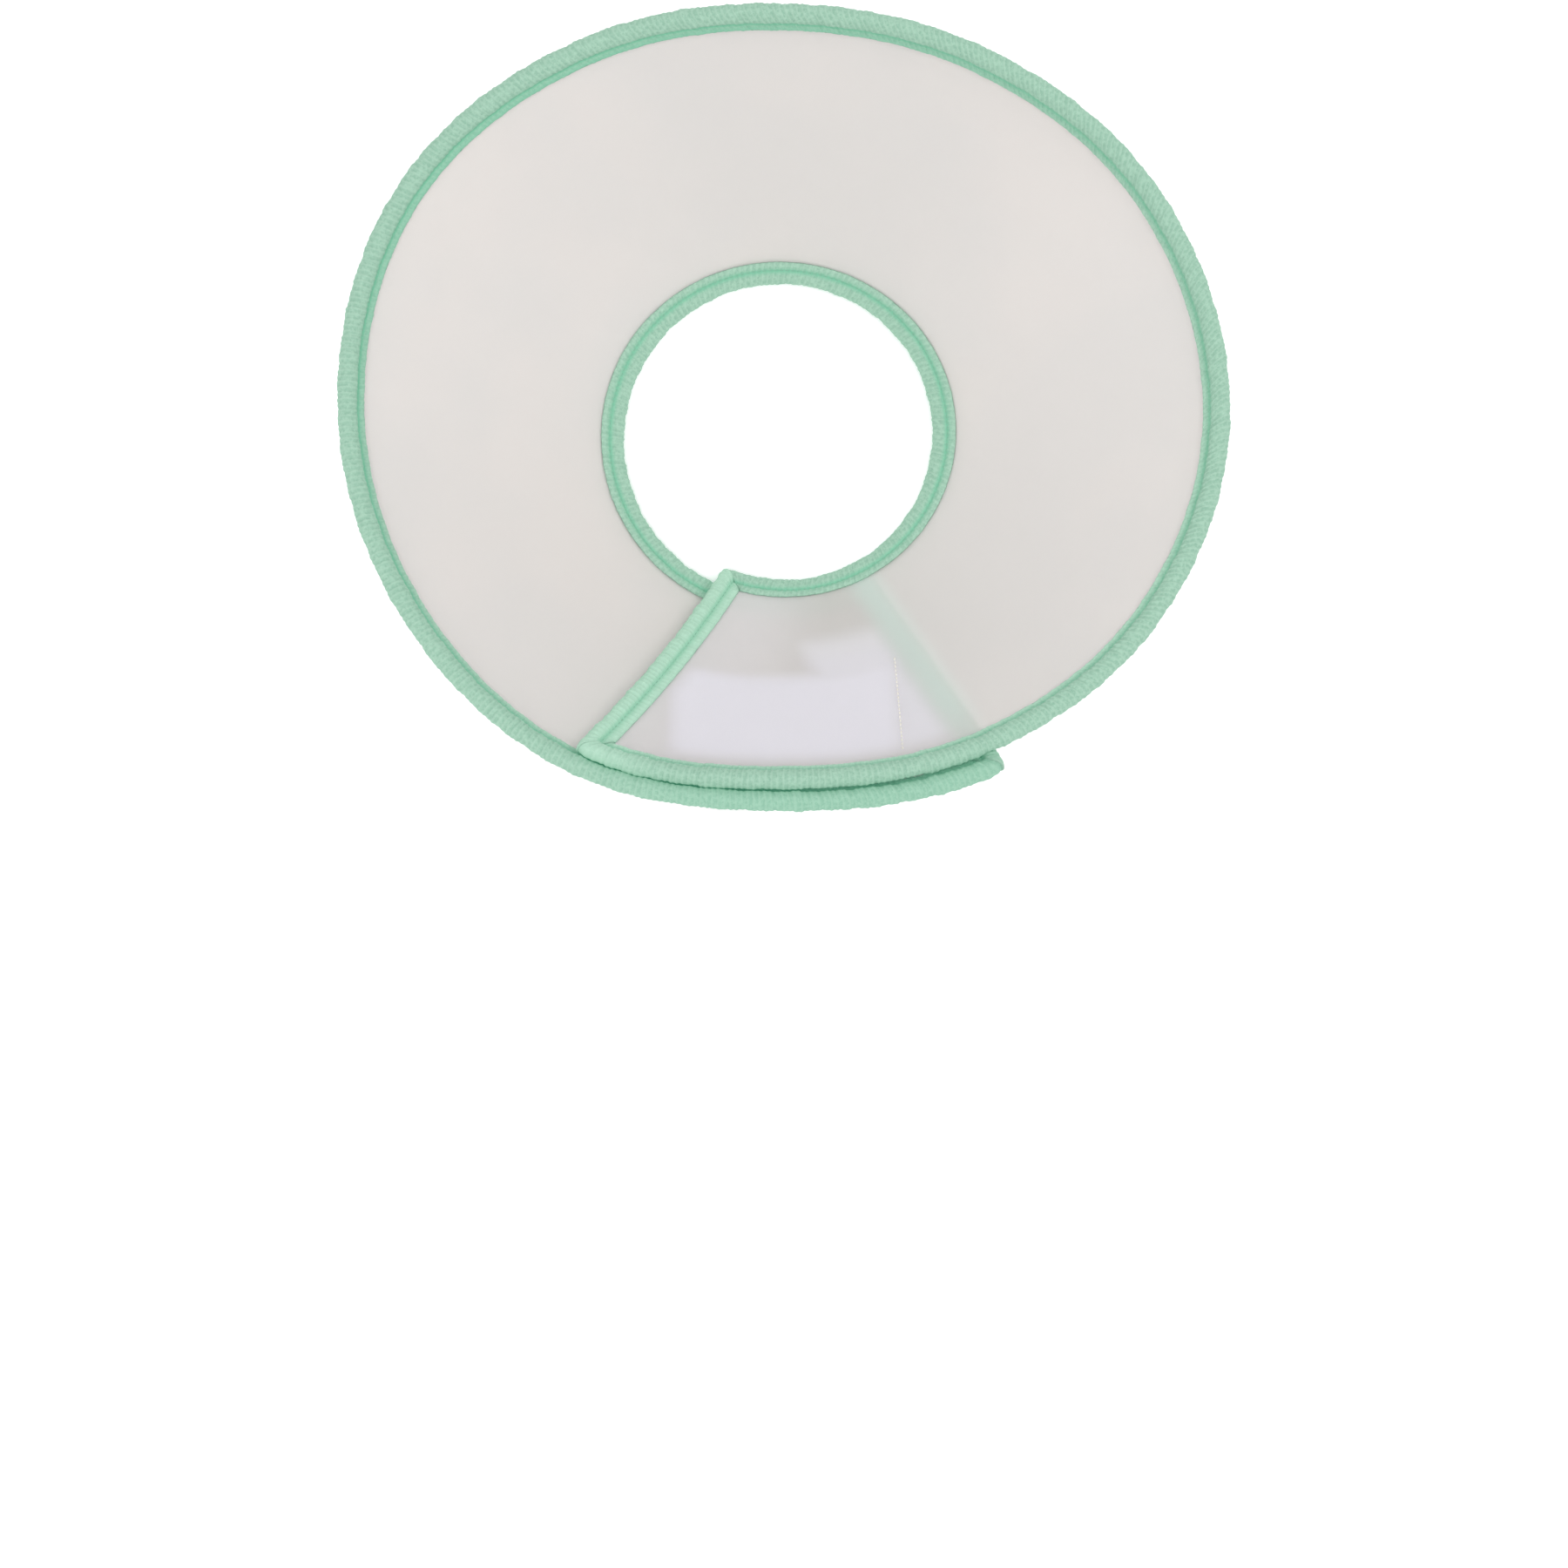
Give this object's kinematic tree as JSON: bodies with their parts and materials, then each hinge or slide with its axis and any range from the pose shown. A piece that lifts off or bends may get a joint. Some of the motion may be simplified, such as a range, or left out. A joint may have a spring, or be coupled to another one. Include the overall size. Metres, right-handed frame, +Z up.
{
  "type": "elizabethan collar",
  "caption": "Pet recovery cone of frosted plastic sheet with knitted binding on its edges, wrapped and closed by a hook-and-loop overlap at the front.",
  "frame": {"origin": "on the floor, under the middle of the collar's overall box", "axes": "+Z up through the neck and out of the mouth of the cone, -Y towards the front, where the wrap overlaps, +X to the right of a viewer at the front"},
  "size_m": [0.3626, 0.3254, 0.1014],
  "materials": {
    "frosted_sheet": "frosted and translucent, almost clear at a grazing light",
    "mint_knit": "ribbed knit, matt",
    "white_loop": "brushed loop pile, matt"
  },
  "bodies": {
    "root": {"cone_sheet": "frosted_sheet", "rim_binding": "mint_knit", "neck_binding": "mint_knit", "inner_end_binding": "mint_knit", "outer_end_binding": "mint_knit", "loop_patch": "white_loop", "hook_patch": "white_loop"}
  },
  "joints": []
}
